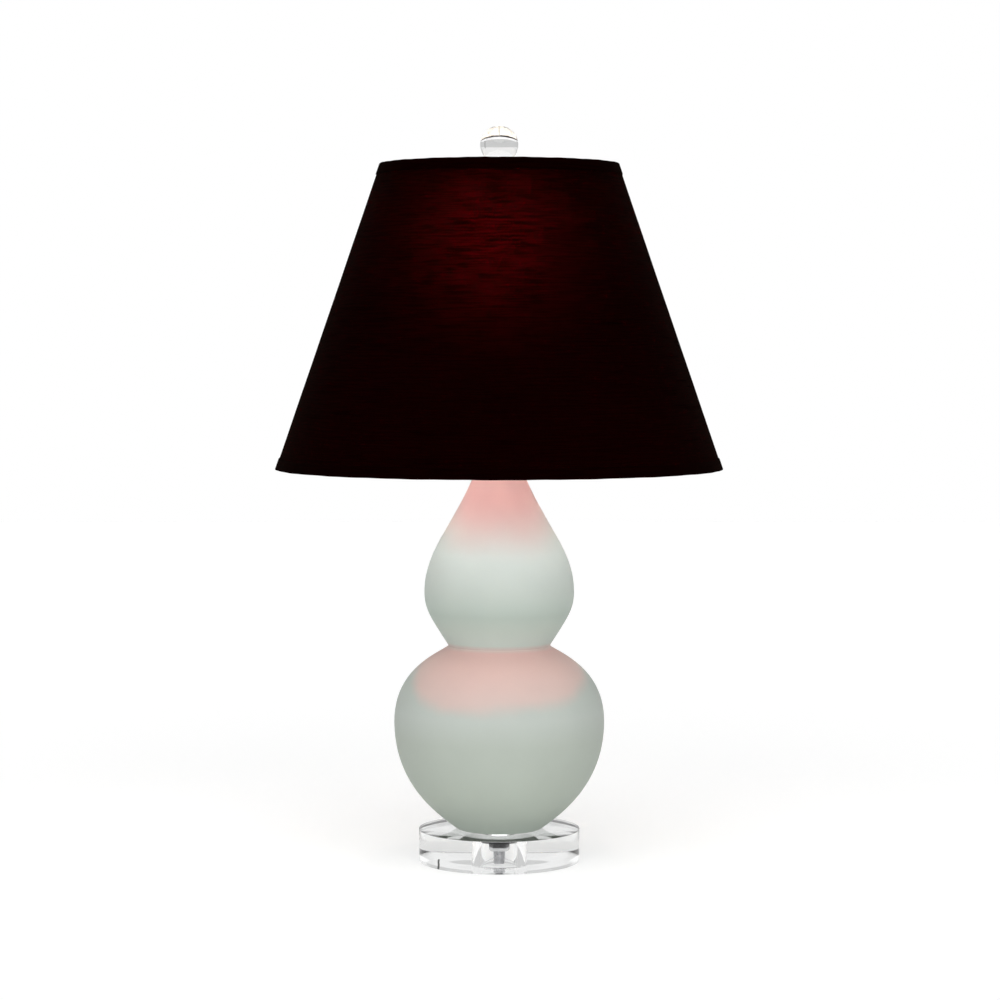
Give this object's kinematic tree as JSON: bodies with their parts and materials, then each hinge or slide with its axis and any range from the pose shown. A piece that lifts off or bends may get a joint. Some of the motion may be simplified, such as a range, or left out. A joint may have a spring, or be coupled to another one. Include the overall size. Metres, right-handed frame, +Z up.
{
  "type": "double gourd table lamp",
  "caption": "Double gourd ceramic table lamp on a clear round block, with a turn-switch lamp holder, detachable harp, dark cloth cone shade and clear ball finial.",
  "frame": {"origin": "centre of the acrylic block's underside, on the table", "axes": "+Z up along the lamp's axis; the front, with the switch knob, faces -Y and the cord outlet faces +Y; the harp lies in the X-Z plane"},
  "size_m": [0.3512, 0.3512, 0.5778],
  "materials": {
    "clear_acrylic": "clear polished acrylic",
    "zinc_steel": "zinc-plated steel",
    "dark_steel": "black-oxide steel, polished at the edges",
    "ceramic_glaze": "satin grey-green glaze with a rose blush at the shoulder and neck",
    "white_nylon": "moulded nylon",
    "satin_brass": "satin plated brass",
    "bright_brass": "plain stamped brass",
    "card": "fibre card",
    "moulded_black": "moulded thermoset",
    "solder": "soldered tip",
    "bulb_glass_black": "fused black glass",
    "bulb_cap_metal": "rolled cap metal",
    "frosted_glass": "inside-frosted envelope",
    "shade_fabric": "near-black maroon woven cloth, faintly slubbed",
    "trim_fabric": "folded self trim",
    "lining_styrene": "off-white styrene lining",
    "ring_wire": "powder-coated wire"
  },
  "bodies": {
    "stand": {"acrylic_base": "clear_acrylic", "base_washer": "dark_steel", "base_lock_washer": "dark_steel", "base_nut": "dark_steel", "threaded_rod": "zinc_steel", "gourd_body": "ceramic_glaze", "cord_outlet_bushing": "white_nylon", "vase_cap": "satin_brass", "neck_spacer": "satin_brass", "harp_saddle": "satin_brass", "socket_cap": "satin_brass", "cap_liner": "card", "socket_shell": "satin_brass", "shell_liner": "card", "socket_body": "moulded_black", "screw_shell": "bright_brass", "centre_contact": "bright_brass", "terminal_screws": "bright_brass"},
    "switch": {"switch_shaft": "zinc_steel", "switch_knob": "moulded_black"},
    "bulb_contact": {"bulb_tip": "solder", "bulb_insulator": "bulb_glass_black"},
    "bulb": {"bulb_cap": "bulb_cap_metal", "bulb_envelope": "frosted_glass"},
    "harp": {"harp_bow": "satin_brass"},
    "ferrule_left": {"ferrule_left": "satin_brass"},
    "ferrule_right": {"ferrule_right": "satin_brass"},
    "harp_swivel": {"harp_stud": "satin_brass", "harp_seat": "satin_brass"},
    "shade": {"shade_cloth": "shade_fabric", "shade_lining": "lining_styrene", "shade_top_trim": "trim_fabric", "shade_bottom_trim": "trim_fabric", "shade_bottom_ring": "ring_wire", "shade_fitter": "ring_wire"},
    "finial_insert": {"finial_insert": "satin_brass"},
    "finial_ball": {"finial_ball": "clear_acrylic"}
  },
  "joints": [
    {"name": "switch_turn", "type": "hinge", "parent": "stand", "child": "switch", "pos_m": [0, -0.022, 0.368], "axis": [0, -1, 0], "continuous": true},
    {"name": "bulb_rise", "type": "slide", "parent": "stand", "child": "bulb_contact", "axis": [0, 0, 1], "range_m": [0, 0.01452]},
    {"name": "bulb_turn", "type": "hinge", "parent": "bulb_contact", "child": "bulb", "pos_m": [0, 0, 0.384], "axis": [0, 0, 1], "range_deg": [0, 1440]},
    {"name": "harp_lift", "type": "slide", "parent": "stand", "child": "harp", "axis": [0, 0, 1], "range_m": [0, 0.2]},
    {"name": "ferrule_left_slide", "type": "slide", "parent": "harp", "child": "ferrule_left", "axis": [0, 0, 1], "range_m": [0, 0.02]},
    {"name": "ferrule_right_slide", "type": "slide", "parent": "harp", "child": "ferrule_right", "axis": [0, 0, 1], "range_m": [0, 0.02]},
    {"name": "shade_swivel", "type": "hinge", "parent": "harp", "child": "harp_swivel", "pos_m": [0, 0, 0.53], "axis": [0, 0, 1], "continuous": true},
    {"name": "shade_lift", "type": "slide", "parent": "harp_swivel", "child": "shade", "axis": [0, 0, 1], "range_m": [0, 0.25]},
    {"name": "finial_rise", "type": "slide", "parent": "shade", "child": "finial_insert", "axis": [0, 0, 1], "range_m": [0, 0.01036]},
    {"name": "finial_turn", "type": "hinge", "parent": "finial_insert", "child": "finial_ball", "pos_m": [0, 0, 0.5492], "axis": [0, 0, 1], "range_deg": [0, 3960]}
  ],
  "couplings": [
    {"joint": "bulb_rise", "follows": "bulb_turn", "m_per_rad": 0.0005775},
    {"joint": "finial_rise", "follows": "finial_turn", "m_per_rad": 0.00014972}
  ]
}
